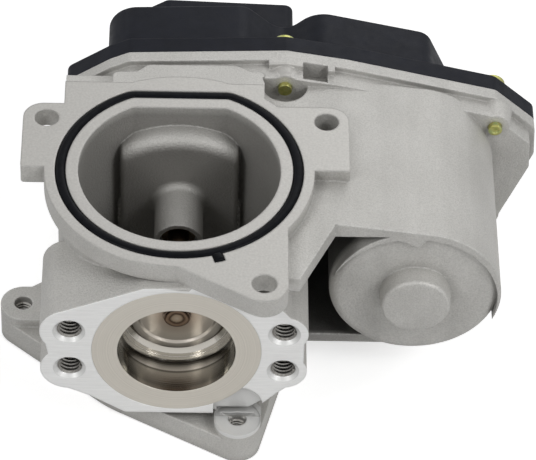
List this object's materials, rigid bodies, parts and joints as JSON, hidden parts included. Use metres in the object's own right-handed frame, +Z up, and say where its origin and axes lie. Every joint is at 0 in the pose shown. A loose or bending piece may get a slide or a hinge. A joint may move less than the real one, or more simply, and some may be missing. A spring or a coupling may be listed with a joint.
{
  "type": "exhaust gas recirculation valve",
  "caption": "Exhaust gas recirculation valve: a cast duct with a poppet valve across it, worked by an electric motor through gears under a plastic cover.",
  "frame": {"origin": "on the air duct's axis, in the lower joint face where the throttle body bolts on", "axes": "+Z up the duct, +X towards the motor, +Y towards the gear cover; the exhaust port faces -Y"},
  "size_m": [0.1484, 0.1251, 0.0667],
  "materials": {
    "cast": "sand-cast, grey, matt",
    "stainless": "turned, satin",
    "valve_steel": "ground, heat-tinted",
    "ground_steel": "ground",
    "black_plastic": "glass-filled nylon, satin",
    "gear_plastic": "moulded acetal",
    "rubber": "moulded rubber",
    "spring_steel": "wound wire",
    "zinc_screw": "yellow zinc",
    "motor_steel": "drawn, plated",
    "magnet": "sintered",
    "copper": "copper",
    "bronze": "sintered bronze",
    "tinned": "tinned brass",
    "board": "circuit board",
    "carbon": "carbon"
  },
  "bodies": {
    "root": {"housing": "cast", "port_seal": "rubber", "seat_insert": "stainless", "stem_bush": "bronze", "stem_seal": "rubber", "cam_guide": "ground_steel", "retaining_ring": "spring_steel", "return_spring": "spring_steel", "intermediate_shaft": "ground_steel", "motor_can": "motor_steel", "wave_spring": "spring_steel", "motor_magnets": "magnet", "motor_brush_card": "black_plastic", "motor_brushes": "carbon", "motor_end_plate": "motor_steel", "motor_bearings": "bronze", "motor_screws": "zinc_screw", "cover_gasket": "rubber", "gear_cover": "black_plastic", "connector_pins": "tinned", "sensor_board": "board", "cover_screws": "zinc_screw"},
    "valve": {"valve_disc": "valve_steel", "valve_stem": "valve_steel", "cross_pin": "ground_steel", "cam_rollers": "ground_steel"},
    "output": {"output_gear": "gear_plastic", "sensor_magnet": "magnet"},
    "idler": {"intermediate_gear": "gear_plastic"},
    "rotor": {"motor_shaft": "ground_steel", "motor_armature": "motor_steel", "motor_commutator": "copper", "motor_pinion": "ground_steel"}
  },
  "joints": [
    {"name": "rotor_spin", "type": "hinge", "parent": "root", "child": "rotor", "pos_m": [0.064, 0.03, 0.0353], "axis": [0, 1, 0], "range_deg": [0, 583.2], "stiffness_Nm_per_rad": 0.002},
    {"name": "idler_spin", "type": "hinge", "parent": "root", "child": "idler", "pos_m": [0.03674, 0.05, 0.03096], "axis": [0, 1, 0], "range_deg": [-162, 0]},
    {"name": "output_turn", "type": "hinge", "parent": "root", "child": "output", "pos_m": [0, 0.046, 0.0353], "axis": [0, 1, 0], "range_deg": [0, 60]},
    {"name": "valve_lift", "type": "slide", "parent": "root", "child": "valve", "axis": [0, -1, 0], "range_m": [0, 0.006]}
  ],
  "couplings": [
    {"joint": "idler_spin", "follows": "rotor_spin", "ratio": -0.27778},
    {"joint": "output_turn", "follows": "rotor_spin", "ratio": 0.10288},
    {"joint": "valve_lift", "follows": "rotor_spin", "m_per_rad": 0.00058946}
  ]
}
